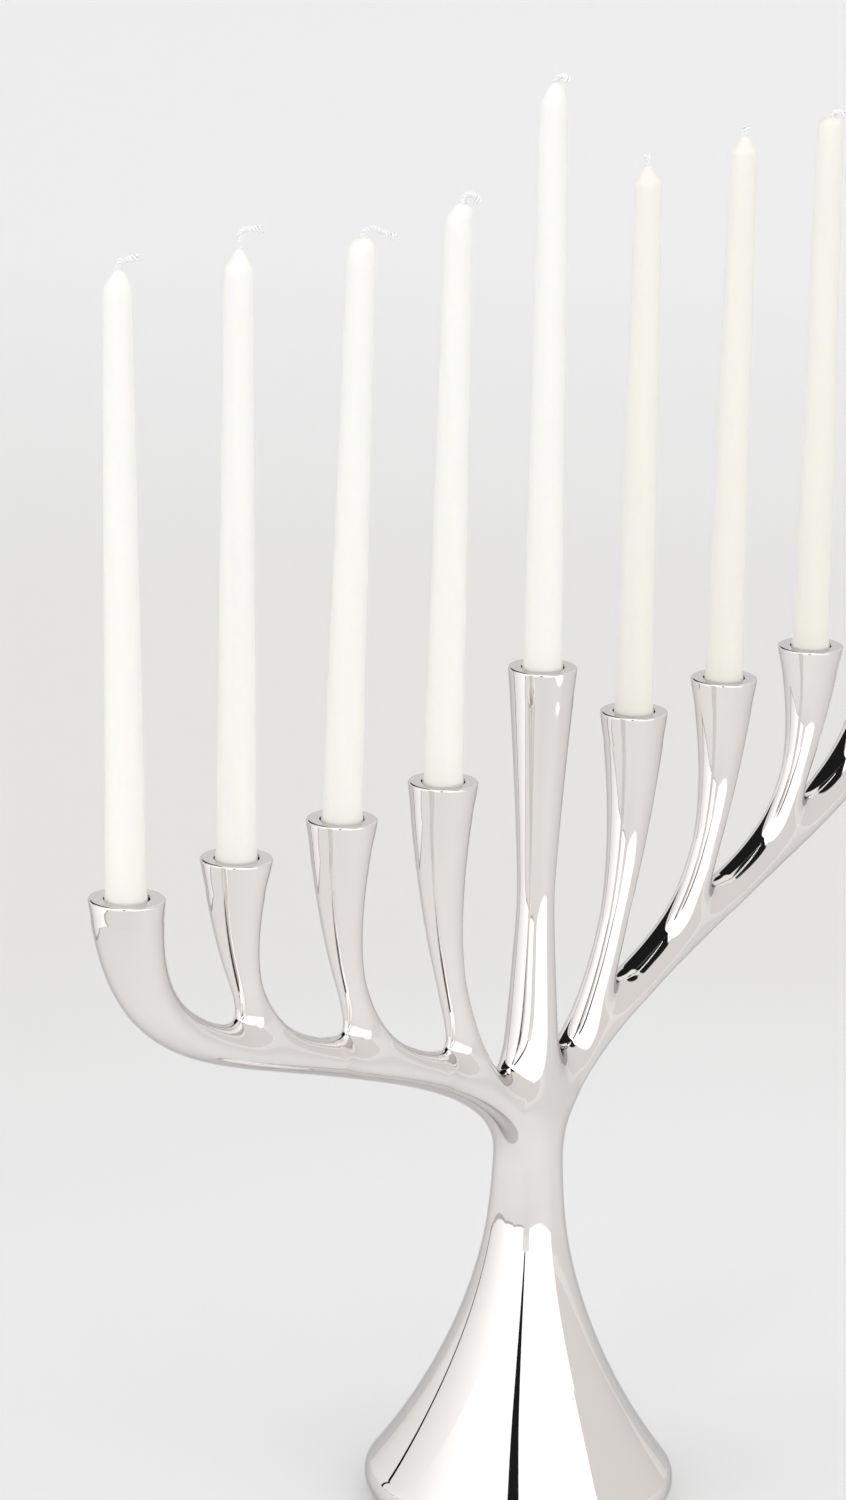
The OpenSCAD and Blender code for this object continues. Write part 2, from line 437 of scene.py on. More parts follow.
def surface_net(values, allowed):
    """Vertices, in grid steps, and outward quads round the zero level of a sampled field."""
    inside = values < 0
    shape = np.array(values.shape) - 1

    def corner(array, offset):
        return array[tuple(slice(o, o + n) for o, n in zip(offset, shape))]

    filled = sum(corner(inside, c).astype(np.int8) for c in CORNERS)
    active = (filled > 0) & (filled < 8)
    cells = np.argwhere(active)
    number = np.full(shape, -1)
    number[active] = np.arange(len(cells))
    total = np.zeros((len(cells), 3))
    crossings = np.zeros((len(cells), 1))
    for start, end in cell_edges():
        a = corner(values, start)[active]
        b = corner(values, end)[active]
        cut = ((a < 0) != (b < 0))[:, None]
        share = (a / np.where(a == b, 1, a - b))[:, None]
        total += np.where(cut, start + share * (end - start), 0)
        crossings += cut
    vertices = cells + total / np.maximum(crossings, 1)
    quads = []
    for axis in range(3):
        one, two = [a for a in range(3) if a != axis]
        low = np.moveaxis(inside, axis, 0)[:-1]
        high = np.moveaxis(inside, axis, 0)[1:]
        crossing = np.argwhere(np.moveaxis(low != high, 0, axis))
        beside = crossing[:, [one, two]]
        crossing = crossing[((beside > 0) & (beside < shape[[one, two]])).all(1)]
        around = []
        for steps in ((1, 1), (0, 1), (0, 0), (1, 0)):
            cell = crossing.copy()
            cell[:, [one, two]] -= steps
            around.append(cell)
        keep = np.all([allowed[tuple(c.T)] for c in around], axis=0)
        ring = np.stack([number[tuple(c.T)] for c in around], 1)[keep]
        forward = inside[tuple(crossing[keep].T)] ^ (axis == 1)
        quads.append(np.where(forward[:, None], ring, ring[:, ::-1]))
    return vertices, np.vstack(quads)


def nearest_place(x):
    return np.clip(np.round(x / CUP_PITCH) + MIDDLE, 0, LAST).astype(int)


def cut_height(x):
    """Height above which the turned cups take over, for an array of x."""
    cuts = [rim_z(p) - (END_CUP_CUT if p in (0, LAST) else CUP_CUT) for p in range(LAST + 1)]
    return np.array(cuts)[nearest_place(x)]


def used_only(vertices, quads):
    """The vertices that a face uses, with the faces renumbered."""
    used = np.unique(quads)
    number = np.full(len(vertices), -1)
    number[used] = np.arange(len(used))
    return vertices[used], number[quads]


def centred_steps(reach):
    """Places a net step apart, centred on 0."""
    count = int(2 * reach / NET_STEP) + 1
    return (np.arange(count) - (count - 1) / 2) * NET_STEP


def branching_net():
    """Vertices, normals and quads of the casting between its foot and its cups."""
    xs = centred_steps(casting_high[0] + NET_MARGIN)
    ys = centred_steps(NET_DEPTH)
    zs = np.arange(STEM_CUT, SHAMASH_HEIGHT - CUP_CUT + 2 * NET_STEP, NET_STEP)
    x, z = [plane.ravel() for plane in np.meshgrid(xs, zs, indexing="ij")]
    known = sections(x, z)
    values = np.empty((len(xs), len(ys), len(zs)))
    for index, y in enumerate(ys):
        plane = casting_field(x, np.full(x.shape, y), z, known)
        values[:, index, :] = plane.reshape(len(xs), len(zs))
    middle = (zs[1:] + zs[:-1]) / 2
    low_enough = middle[None, :] < cut_height((xs[1:] + xs[:-1]) / 2)[:, None]
    allowed = np.repeat(low_enough[:, None, :], len(ys) - 1, axis=1)
    vertices, quads = surface_net(values, allowed)
    vertices = vertices * NET_STEP + [xs[0], ys[0], zs[0]]
    vertices, quads = used_only(vertices, quads)
    for _ in range(3):
        slope = gradient(vertices)
        steep = np.maximum((slope ** 2).sum(1), 0.05)[:, None]
        vertices = vertices - slope * field_at(vertices)[:, None] / steep
    return vertices, unit(gradient(vertices)), quads


# ---- Turned ends: nine cups and the foot ----

def arc_profile(centre, radius, start, end, count, outward=1):
    """Points and normals of a profile arc, angles in degrees from the outward axis."""
    angle = np.radians(np.linspace(start, end, count))
    normal = np.stack([np.cos(angle), np.sin(angle)], 1)
    return np.asarray(centre) + radius * normal, outward * normal


def line_profile(start, end, count, side=1):
    """Points and normals of a straight profile, its outside on the right going up."""
    points = np.linspace(start, end, count)
    along = unit(points[-1] - points[0])
    normal = side * np.array([along[1], -along[0]])
    return points, np.repeat(normal[None], count, 0)


def curve_profile(radii, heights):
    points = np.stack([radii, heights], 1)
    slope = np.gradient(radii, heights)
    return points, unit(np.stack([np.ones_like(slope), -slope], 1))


def chained(*parts):
    return np.vstack([p for p, _ in parts]), np.vstack([n for _, n in parts])


def cup_wall_radius(place, z):
    """Outer radius of a cup, which carries on from its arm."""
    if place == MIDDLE:
        return column_radius(z)
    if place in (0, LAST):
        t = np.linspace(0, 1, CURVE_STEPS)
        height = bezier(BOUGH_UP, t)[:, 1]
        width = mix(BOUGH_MIDDLE_SIZE[0], END_CUP_RADIUS, t ** BOUGH_FLARE_POWER)
        return np.interp(z, height, width)
    neck = ROW_HEIGHT - ARM_NECK_DROP[abs(place - MIDDLE) - 1]
    return flare(z, neck, ROW_HEIGHT, ARM_NECK_RADIUS, CUP_RADIUS)


def cup_profile(place, start):
    """From the cut, up over the rim, and down the socket to its floor."""
    rim = rim_z(place)
    radius = rim_radius(place)
    floor = rim - SOCKET_DEPTH
    heights = np.linspace(start, rim - RIM_EDGE, WALL_RINGS)
    wall = cup_wall_radius(place, heights)
    wall = wall + (radius - wall[-1]) * smooth_step((heights - start) / (heights[-1] - start))
    outside = radius - RIM_EDGE
    inside = SOCKET_RADIUS + SOCKET_EDGE
    bottom = floor + SOCKET_CORNER
    edge = arc_profile([outside, rim - RIM_EDGE], RIM_EDGE, RIM_ARC_START, 90, 5)
    top = line_profile([outside - CREASE, rim], [inside + CREASE, rim], 3)
    lead = arc_profile([inside, rim - SOCKET_EDGE], SOCKET_EDGE, 90, 180, 5)
    bore = line_profile([SOCKET_RADIUS, rim - SOCKET_EDGE - 2 * CREASE],
                        [SOCKET_RADIUS, bottom + CREASE], 4)
    corner = arc_profile([SOCKET_RADIUS - SOCKET_CORNER, bottom], SOCKET_CORNER, 0, -90, 4, -1)
    return chained(curve_profile(wall, heights), edge, top, lead, bore, corner), floor


def foot_profile(start):
    """From the cut, down the flank, round the lip, and into the recess for the pad."""
    top = lip_top()
    heights = np.linspace(start, top[1] + FLANK_END, FLANK_RINGS)
    flank = curve_profile(column_radius(heights), heights)
    lip = arc_profile(LIP_CENTRE, LIP_RADIUS, LIP_UPPER_ANGLE, LIP_LOWER_ANGLE, LIP_RINGS)
    recess = PAD_RADIUS + PAD_FIT
    ceiling = PAD_THICKNESS
    edge = 2 * CREASE
    under = line_profile(lip[0][-1] - [LIP_STEP, 0], [recess + edge, PAD_PROUD], 3, side=-1)
    wall = line_profile([recess, PAD_PROUD + edge], [recess, ceiling - CREASE], 3, side=-1)
    return chained(flank, lip, under, wall), ceiling


def boundary_loops(quads):
    """The open edges of a mesh, grouped into lists of vertices."""
    edges = Counter(
        (min(a, b), max(a, b)) for quad in quads for a, b in zip(quad, np.roll(quad, -1))
    )
    after = {}
    for (a, b), uses in edges.items():
        if uses == 1:
            after.setdefault(a, []).append(b)
            after.setdefault(b, []).append(a)
    loops = []
    waiting = set(after)
    while waiting:
        loop = [waiting.pop()]
        while step := [v for v in after[loop[-1]] if v in waiting]:
            loop.append(step[0])
            waiting.discard(step[0])
        loops.append(loop)
    return loops


class Casting:
    """Collects the vertices, normals and faces of the cast body."""

    def __init__(self, vertices, normals, quads):
        self.vertices = [vertices]
        self.normals = [normals]
        self.faces = [list(map(int, q)) for q in quads]
        self.count = len(vertices)

    def add(self, vertices, normals):
        first = self.count
        self.vertices.append(np.atleast_2d(vertices))
        self.normals.append(np.atleast_2d(normals))
        self.count += len(self.vertices[-1])
        return list(range(first, self.count))

    def turned_end(self, loop, centre_x, profile, end_z, upward):
        """Rings of one profile from a loop of the net to a closed end.

        A cup's loop can be a little off its profile, and the difference fades out.
        """
        start = self.vertices[0][loop] - [centre_x, 0, 0]
        order = np.argsort(np.arctan2(start[:, 1], start[:, 0]))
        start = start[order]
        ring = [loop[i] for i in order]
        points, bends = profile
        wall = np.hypot(start[:, 0], start[:, 1])
        around = start[:, :2] / wall[:, None]
        slip = 0 * wall
        if upward:
            walls = points[:WALL_RINGS]
            slip = wall - np.interp(start[:, 2], walls[:, 1], walls[:, 0])
        for (radius, z), (out, up) in zip(points, bends):
            fade = 1 - smooth_step(abs(z - points[0, 1]) / CUP_FADE)
            xy = around * (radius + slip * fade)[:, None] + [centre_x, 0]
            vertices = np.column_stack([xy, np.full(len(ring), z)])
            normals = np.column_stack([around * out, np.full(len(ring), up)])
            fresh = self.add(vertices, normals)
            self.strip(ring, fresh, upward)
            ring = fresh
        tip = self.add([centre_x, 0, end_z], [0, 0, 1 if upward else -1])[0]
        self.strip(ring, [tip], upward)

    def strip(self, low, high, upward):
        """Faces from one ring to the next, or to a single tip."""
        for i in range(len(low)):
            n = (i + 1) % len(low)
            far = [high[n], high[i]] if len(high) > 1 else high
            face = [low[i], low[n]] + far
            self.faces.append(face if upward else face[::-1])


def make_casting():
    """The shape of the whole casting, and its normals."""
    vertices, normals, quads = branching_net()
    casting = Casting(vertices, normals, quads)
    for loop in boundary_loops(quads):
        middle = vertices[loop].mean(0)
        if middle[2] < STEM_CUT + STEM_REACH:
            start = vertices[loop][:, 2].min() - NET_STEP
            profile, ceiling = foot_profile(start)
            casting.turned_end(loop, 0, profile, ceiling, upward=False)
        else:
            place = int(nearest_place(middle[0]))
            start = vertices[loop][:, 2].max() + 0.5 * NET_STEP
            profile, floor = cup_profile(place, start)
            casting.turned_end(loop, cup_x(place), profile, floor, upward=True)
    return (np.vstack(casting.vertices), casting.faces), np.vstack(casting.normals)


# ---- Blender objects ----

def closed_tube(rings, first_tip, last_tip):
    """Vertices and faces through rings of equal length, closed by a fan at each end."""
    sides = len(rings[0])
    last = (len(rings) - 1) * sides
    tips = last + sides
    faces = []
    for i in range(sides):
        n = (i + 1) % sides
        faces += [[n, i, tips], [last + i, last + n, tips + 1]]
        for low in range(0, last, sides):
            high = low + sides
            faces.append([low + i, low + n, high + n, high + i])
    return np.vstack([*rings, first_tip, last_tip]), faces


def make_object(name, vertices, faces, material):
    """A smooth mesh object with one material, from vertices in metres."""
    mesh = bpy.data.meshes.new(name)
    mesh.from_pydata(vertices, [], faces)
    mesh.polygons.foreach_set("use_smooth", [True] * len(faces))
    mesh.materials.append(material)
    mesh.update()
    item = bpy.data.objects.new(name, mesh)
    bpy.context.scene.collection.objects.link(item)
    return item


def make_piece(name, shape, body, node, material):
    """A piece of the menorah from a shape in millimetres, for its body, CAD node and slot."""
    vertices, faces = shape
    piece = make_object(name, (np.asarray(vertices) * MM).tolist(), faces, material)
    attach(piece, body)
    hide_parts(node)
    return piece


# ---- Node materials ----

METAL_COOL = (0.858, 0.834, 0.818)
METAL_WARM = (0.872, 0.846, 0.826)
METAL_GRAZING = (0.64, 0.64, 0.65)
WHITE_WAX = (0.955, 0.952, 0.915)
WHITE_WAX_FOOT = (0.935, 0.922, 0.85)
CREAM_WAX = (0.895, 0.887, 0.825)
CREAM_WAX_FOOT = (0.877, 0.862, 0.785)
WAX_MOTTLE = 0.35
WAX_IOR = 1.44
# How deep light goes into wax and cotton, in millimetres, and each colour's share of it.
WAX_DEPTH = 2.5
WAX_SHARES = (1.0, 0.85, 0.6)
COTTON_DEPTH = 0.5
COTTON_SHARES = (1.0, 1.0, 1.0)
COTTON = (0.98, 0.98, 0.99)
COTTON_SHADE = (0.93, 0.93, 0.95)
FELT_DARK = (0.035, 0.036, 0.04)
FELT_LIGHT = (0.11, 0.11, 0.12)
# Floor colours: the pale tone, which round the object is a painted pool of light, and a darker
# tone of painted shade for a wide ring; then the reach of that pool and ring in metres, and
# how much their edges wander.
FLOOR = (0.95, 0.95, 0.95)
FLOOR_PAINTED_SHADE = (0.862, 0.858, 0.848)
PAINTED_POOL_REACH = 1.6
FLOOR_DRIFT = 0.1


def set_inputs(node, **values):
    """Links or sets a node's inputs. A name's words are joined by underscores."""
    for key, value in values.items():
        socket = node.inputs[key.replace("_", " ")]
        if isinstance(value, bpy.types.NodeSocket):
            node.id_data.links.new(value, socket)
        else:
            socket.default_value = value


def add_node(tree, kind, **values):
    node = tree.nodes.new("ShaderNode" + kind)
    set_inputs(node, **values)
    return node


def new_material(name, kind="BsdfPrincipled"):
    """A node material with one shader, that shader and the node tree."""
    material = bpy.data.materials.new(name)
    material.use_nodes = True
    tree = material.node_tree
    tree.nodes.clear()
    shader = add_node(tree, kind)
    add_node(tree, "OutputMaterial", Surface=shader.outputs[0])
    return material, shader, tree


def object_position(tree, stretch=(1, 1, 1)):
    """Position on the object, squeezed along its axes."""
    place = add_node(tree, "TexCoord").outputs["Object"]
    return add_node(tree, "Mapping", Vector=place, Scale=stretch).outputs["Vector"]


def noise(tree, vector, scale, detail=3.0, roughness=0.5):
    """Soft noise with that many waves to a metre."""
    node = add_node(tree, "TexNoise", Vector=vector, Scale=scale, Detail=detail,
                    Roughness=roughness)
    return node.outputs["Fac"]


def ramp(tree, value, stops):
    """A colour ramp through (position, colour) stops."""
    node = add_node(tree, "ValToRGB", Fac=value)
    elements = node.color_ramp.elements
    while len(elements) < len(stops):
        elements.new(0.5)
    for element, (position, colour) in zip(elements, stops):
        element.position = position
        element.color = (*colour, 1)
    return node.outputs["Color"]


def mapped(tree, value, kind="LINEAR", **limits):
    """A value moved from one range, 0 to 1 unless stated, to another."""
    node = add_node(tree, "MapRange", Value=value, **limits)
    node.interpolation_type = kind
    return node.outputs["Result"]


def in_range(tree, value, low, high):
    """Turns a 0 to 1 value into one from low to high."""
    return mapped(tree, value, To_Min=low, To_Max=high)


def calculate(tree, operation, *values):
    """One math node on sockets or numbers."""
    node = add_node(tree, "Math")
    node.operation = operation
    for socket, value in zip(node.inputs, values):
        if isinstance(value, (int, float)):
            socket.default_value = value
        else:
            tree.links.new(value, socket)
    return node.outputs["Value"]


def rises(tree, value, start, soft):
    """0 below start and 1 above it, over a soft edge."""
    return mapped(tree, value, "SMOOTHSTEP", From_Min=start - soft, From_Max=start + soft)


def between(tree, value, low, high, soft):
    """1 from low to high and 0 outside, over soft edges."""
    up = rises(tree, value, low, soft)
    down = rises(tree, value, high, soft)
    return calculate(tree, "SUBTRACT", up, down)


def laid_over(tree, base, mask, colour):
    """A flat colour over another one where the mask is 1."""
    node = add_node(tree, "Mix")
    node.data_type = "RGBA"
    set_inputs(node, Factor=mask, A=base, B=(*colour, 1))
    return node.outputs["Result"]


def parts_of(tree, vector):
    """The X, Y and Z outputs of a vector."""
    split = add_node(tree, "SeparateXYZ", Vector=vector)
    return [split.outputs[axis] for axis in "XYZ"]


def bumped(tree, layers):
    """A normal with bumps of (height, strength, depth in millimetres) stacked on it."""
    below = {}
    for height, strength, depth in layers:
        node = add_node(tree, "Bump", Height=height, Strength=strength, Distance=depth * MM,
                        **below)
        below = {"Normal": node.outputs["Normal"]}
    return below["Normal"]


def metal_material():
    """Mirror polish with the faint waves and hairlines of hand finishing."""
    material, shader, tree = new_material("polished_cast_metal")
    position = object_position(tree)
    broad = noise(tree, position, 45, 2)
    fine = noise(tree, object_position(tree, (1, 1, 0.08)), 1800, 2)
    tint = ramp(tree, broad, [(0.3, METAL_COOL), (0.7, METAL_WARM)])
    normal = bumped(tree, [(broad, 0.25, 0.06), (fine, 0.04, 0.002)])
    set_inputs(shader, Base_Color=tint, Roughness=in_range(tree, fine, 0.012, 0.04),
               Normal=normal, Metallic=1.0, Specular_Tint=(*METAL_GRAZING, 1))
    return material


def wax_material(name, body, foot):
    """Dipped wax: translucent, with a slow mottle, faint runs and fine pits."""
    material, shader, tree = new_material(name)
    position = object_position(tree)
    mottle = noise(tree, object_position(tree, (1, 1, 0.35)), 60, 4)
    dips = noise(tree, object_position(tree, (1, 1, 0.12)), 160, 3)
    pits = noise(tree, position, 2200, 2)
    z = parts_of(tree, position)[2]
    lowest = (ROW_HEIGHT - SOCKET_DEPTH) * MM
    height = mapped(tree, z, From_Min=lowest, From_Max=cad_high[2])
    depth = calculate(tree, "MULTIPLY_ADD", mottle, WAX_MOTTLE, height)
    colour = ramp(tree, depth, [(0.15, foot), (0.75, body)])
    normal = bumped(tree, [(dips, 0.25, 0.12), (pits, 0.15, 0.01)])
    set_inputs(shader, Base_Color=colour, Roughness=in_range(tree, dips, 0.30, 0.46),
               Normal=normal, Subsurface_Weight=0.55, Subsurface_Radius=WAX_SHARES,
               Subsurface_Scale=WAX_DEPTH * MM, IOR=WAX_IOR)
    return material


def cotton_material():
    """Bleached cotton: matte upright fibres in faintly darker and lighter patches."""
    material, shader, tree = new_material("wick_cotton")
    position = object_position(tree)
    fibre = noise(tree, object_position(tree, (1, 1, 0.25)), 5200, 4, 0.7)
    patch = noise(tree, position, 700, 3)
    tint = ramp(tree, patch, [(0.3, COTTON_SHADE), (0.65, COTTON)])
    set_inputs(shader, Base_Color=tint, Roughness=in_range(tree, fibre, 0.7, 0.95),
               Normal=bumped(tree, [(fibre, 0.4, 0.08)]), Sheen_Weight=0.6,
               Sheen_Roughness=0.5, Subsurface_Weight=0.5,
               Subsurface_Radius=COTTON_SHARES, Subsurface_Scale=COTTON_DEPTH * MM)
    return material


def felt_material():
    """Pressed wool felt: clumped fibres in two shades of grey with a soft sheen."""
    material, shader, tree = new_material("base_felt")
    position = object_position(tree)
    clumps = noise(tree, position, 260, 5, 0.65)
    fibres = noise(tree, object_position(tree, (1, 0.3, 1)), 2600, 6, 0.75)
    half_fibres = in_range(tree, fibres, 0, 0.5)
    blend = calculate(tree, "MULTIPLY_ADD", clumps, 0.5, half_fibres)
    tint = ramp(tree, blend, [(0.35, FELT_DARK), (0.65, FELT_LIGHT)])
    normal = bumped(tree, [(clumps, 0.5, 0.3), (fibres, 0.8, 0.12)])
    set_inputs(shader, Base_Color=tint, Roughness=in_range(tree, fibres, 0.85, 1.0),
               Normal=normal, Sheen_Weight=0.6, Sheen_Roughness=0.4)
    return material


def floor_material():
    """A seamless pale sweep with a barely visible tooth, painted with a pool of light round
    the object and, beyond it, a wide, slightly darker ring of painted shade.
    """
    material, shader, tree = new_material("studio_floor")
    position = object_position(tree)
    away = add_node(tree, "VectorMath", Vector=position)
    away.operation = "LENGTH"
    reach = calculate(tree, "DIVIDE", away.outputs["Value"], PAINTED_POOL_REACH)
    drift = calculate(tree, "MULTIPLY", noise(tree, position, 2.5, 2), FLOOR_DRIFT)
    # Painted light and shade: pale near the object as a painted pool of light, painted shade
    # in a ring from about half a metre to one metre out, and pale again by about one and a
    # half metres.
    tone = ramp(tree, calculate(tree, "ADD", reach, drift), [
        (0.17, FLOOR), (0.35, FLOOR_PAINTED_SHADE), (0.62, FLOOR_PAINTED_SHADE), (1.0, FLOOR),
    ])
    tooth = noise(tree, position, 900, 2)
    set_inputs(shader, Base_Color=tone, Roughness=in_range(tree, tooth, 0.55, 0.7),
               Normal=bumped(tree, [(tooth, 0.05, 0.05)]), Specular_IOR_Level=0.2)
    return material


# ---- Candles and wicks ----

CANDLE_RADIUS = 4.85
SHOULDER_RADIUS = 3.35
SHOULDER_ROUND = 1.2
CANDLE_CHAMFER = 0.6
CANDLE_FOOT_GAP = 0.2
SNUG = 0.26  # how much wider the wax is inside its socket than in the CAD
SNUG_TOP = SOCKET_DEPTH + 1.5
WAVINESS = 0.05
CANDLE_BOW = 0.15
TIP_SLANT = 0.25
CANDLE_SIDES = 48
CANDLE_RINGS = 110
CANDLE_SEED = 11

# How each candle ends: height of the tip, its radius, how round it is (1 is a cone),
# and how far its top is pushed off centre. The last four are of a creamier batch of wax.
TIPS = {
    "candle_1": dict(height=4.5, radius=0.9, round=1.2, push=0.3),
    "candle_2": dict(height=4.5, radius=0.9, round=0.8, push=0.3),
    "candle_3": dict(height=4.5, radius=1.6, round=2.4, push=0.2),
    "candle_4": dict(height=4.5, radius=1.4, round=2.2, push=0.9),
    "shamash_candle": dict(height=5.5, radius=1.1, round=1.6, push=0.5),
    "candle_5": dict(height=4.0, radius=1.0, round=0.7, push=-0.3),
    "candle_6": dict(height=3.4, radius=1.0, round=0.7, push=0.2),
    "candle_7": dict(height=2.6, radius=1.9, round=2.6, push=0.3),
    "candle_8": dict(height=4.0, radius=1.2, round=1.4, push=0.0),
}
CANDLE_NODES = list(TIPS)

# How each wick lies: length straight up, angle and radius of the bend, length after it,
# and how many pairs of loose fibres it has.
USUAL_WICK = dict(radius=1.5, loose=2)
WICKS = {
    "candle_1": dict(straight=0.5, bend=75, tail=3.6),
    "candle_2": dict(straight=3.0, bend=90, tail=3.8, loose=4),
    "candle_3": dict(straight=0.1, bend=112, radius=2.3, tail=4.8, loose=3),
    "candle_4": dict(straight=0.4, bend=160, radius=1.7, tail=1.0),
    "shamash_candle": dict(straight=0.2, bend=155, radius=1.3, tail=0.8),
    "candle_5": dict(straight=1.2, bend=-20, tail=1.0),
    "candle_6": dict(straight=1.0, bend=12, tail=1.2),
    "candle_7": dict(straight=0.3, bend=95, radius=1.0, tail=2.2),
    "candle_8": dict(straight=0.8, bend=50, tail=3.0),
}
WICK_HEADING = -54.5
STRANDS = 3
STRAND_RADIUS = 0.40
STRAND_OFFSET = 0.38
STRAND_LUMPS = 0.08
TWIST_LENGTH = 2.6
WICK_STEP = 0.22
LOOSE_FROM = 0.62
LOOSE_RADIUS = 0.12


def wick_node(candle):
    return "shamash_wick" if candle == "shamash_candle" else candle.replace("candle", "wick")


def seat_of(candle):
    """Bottom point, axis and length of a candle, from its CAD box and its joint."""
    place = CANDLE_NODES.index(candle)
    joint = [j for j in frame["joints"] if j["child"] == candle][0]
    axis = np.array(joint["axis"])
    turn = SOCKET_DEPTH / 2
    pivot_z = rim_z(place) - SOCKET_DEPTH + CANDLE_FOOT_GAP + turn
    base = np.array([cup_x(place), 0, pivot_z]) - turn * axis
    length = (node_box(candle)[1][2] - base[2]) / axis[2]
    return base, axis, length


def axes_along(axis, heading=WICK_HEADING):
    """Sideways directions square to an axis: towards the heading, and across it."""
    angle = math.radians(heading)
    side = np.array([math.cos(angle), math.sin(angle), 0])
    side = unit(side - axis * (side @ axis))
    return side, np.cross(axis, side)


def candle_outline(length, tip):
    """Heights and radii of a candle, from the middle of its foot to the top of its tip."""
    shoulder = length - tip["height"]
    foot = [(0, 0), (0, CANDLE_RADIUS - CANDLE_CHAMFER)]
    for angle in (30, 60, 90):
        turn = math.radians(angle)
        foot.append((CANDLE_CHAMFER * (1 - math.cos(turn)),
                     CANDLE_RADIUS - CANDLE_CHAMFER * (1 - math.sin(turn))))
    body = []
    for z in np.linspace(CANDLE_CHAMFER + 0.5, shoulder - SHOULDER_ROUND, CANDLE_RINGS):
        snug = SNUG * smooth_step((z - 1) / 3) * smooth_step((SNUG_TOP - z) / 2)
        body.append((z, mix(CANDLE_RADIUS, SHOULDER_RADIUS, z / shoulder) + snug))
    top = []
    for t in np.linspace(0, 1, 12)[:-1]:
        fall = t ** tip["round"] if tip["round"] > 1 else 1 - (1 - t) ** (1 / tip["round"])
        top.append((shoulder + t * tip["height"],
                    mix(SHOULDER_RADIUS - 0.12, tip["radius"], fall)))
    crown = [(length, tip["radius"] * 0.75), (length + 0.1, tip["radius"] * 0.35)]
    return foot + body + top + crown


def candle_mesh(candle, random):
    """A dipped taper: a lathe with slow waves in its wall, closed at both ends."""
    base, axis, length = seat_of(candle)
    tip = TIPS[candle]
    side, across = axes_along(axis)
    outline = candle_outline(length, tip)
    angle = ring_angles(CANDLE_SIDES)
    phase = random.uniform(0, 2 * np.pi, 6)
    rings = []
    for z, radius in outline[1:]:
        free = smooth_step((z - SOCKET_DEPTH - 2) / 20)
        wave = np.sin(angle + phase[0] + z * 0.05) * np.sin(z * 0.11 + phase[1])
        wave += 0.5 * np.sin(2 * angle + phase[2]) * np.sin(z * 0.23 + phase[3])
        wall = radius + free * WAVINESS * wave * min(1, radius / 3)
        push = tip["push"] * smooth_step((z - length + tip["height"]) / tip["height"])
        bow = CANDLE_BOW * free * math.sin(math.pi * z / length + phase[4] * 0.2)
        level = smooth_step((z - length + 2) / 2) * np.cos(angle)
        slant = TIP_SLANT * tip["push"] * level
        middle = base + axis * (z - slant)[:, None] + side * push + across * bow
        out = np.outer(wall * np.cos(angle), side) + np.outer(wall * np.sin(angle), across)
        rings.append(middle + out)
    return closed_tube(rings, base, rings[-1].mean(0) + axis * 0.05)


def tube(path, radii, sides=10):
    """A closed round tube along a path, as vertices and faces."""
    path = np.asarray(path, float)
    tangent = unit(np.gradient(path, axis=0))
    start = np.cross(tangent[0], [0.3, 0.5, 0.81])
    angle = ring_angles(sides)
    rings = []
    for point, along, radius in zip(path, tangent, radii):
        start = unit(start - along * (start @ along))
        other = np.cross(along, start)
        ring = np.outer(np.cos(angle), start) + np.outer(np.sin(angle), other)
        rings.append(point + radius * ring)
    return closed_tube(rings, path[0], path[-1])


def together(parts):
    """Several closed meshes as one list of vertices and faces."""
    vertices = []
    faces = []
    count = 0
    for points, polygons in parts:
        vertices.append(points)
        faces += [[index + count for index in polygon] for polygon in polygons]
        count += len(points)
    return np.vstack(vertices), faces


def wick_path(candle):
    """Centre line of a wick, from inside the wax to its end, and a way across its bend."""
    base, axis, length = seat_of(candle)
    lie = USUAL_WICK | WICKS[candle]
    side, across = axes_along(axis)
    root = base + axis * length + side * TIPS[candle]["push"]
    turn = math.radians(abs(lie["bend"]))
    way = math.copysign(1, lie["bend"])
    points = [(0, z) for z in np.linspace(-1.5, lie["straight"], 8)]
    for a in np.linspace(0, turn, 14)[1:]:
        points.append((way * lie["radius"] * (1 - math.cos(a)),
                       lie["straight"] + lie["radius"] * math.sin(a)))
    heading = np.array([way * math.sin(turn), math.cos(turn)])
    end = np.array(points[-1])
    for t in np.linspace(0, 1, 10)[1:]:
        points.append(end + heading * lie["tail"] * t)
    return np.array([root + side * u + axis * v for u, v in points]), across


def wick_mesh(candle, random):
    """Three cotton strands twisted together, coming loose at the end."""
    path, across = wick_path(candle)
    arc = arc_lengths(path)
    place = np.linspace(0, arc[-1], max(24, int(arc[-1] / WICK_STEP)))
    line = np.stack([np.interp(place, arc, path[:, i]) for i in range(3)], 1)
    tangent = unit(np.gradient(line, axis=0))
    first = unit(np.cross(tangent, across))
    second = np.cross(tangent, first)
    open_end = smooth_step((place / place[-1] - LOOSE_FROM) / (1 - LOOSE_FROM))
    parts = []
    for strand in range(STRANDS):
        turn = 2 * np.pi * (strand / STRANDS + place / TWIST_LENGTH)
        away = (STRAND_OFFSET * (1 + 1.1 * open_end))[:, None]
        centre = line + away * (first * np.cos(turn)[:, None] + second * np.sin(turn)[:, None])
        lumps = 1 + STRAND_LUMPS * random.normal(size=len(place))
        parts.append(tube(centre, STRAND_RADIUS * (1 - 0.45 * open_end) * lumps))
    start = int(len(place) * 0.7)
    for _ in range(2 * (USUAL_WICK | WICKS[candle])["loose"]):
        stray = random.normal(size=3) * 0.5 + tangent[-1] * 0.6
        reach = np.linspace(0, 1, 9)[:, None]
        droop = np.array([0, 0, -0.5]) * reach ** 2
        root = line[random.integers(start, len(line) - 1)]
        length = random.uniform(0.9, 2.0)
        strand = root + length * (reach * stray + droop)
        parts.append(tube(strand, np.linspace(LOOSE_RADIUS, LOOSE_RADIUS * 0.5, 9), 6))
    return together(parts)


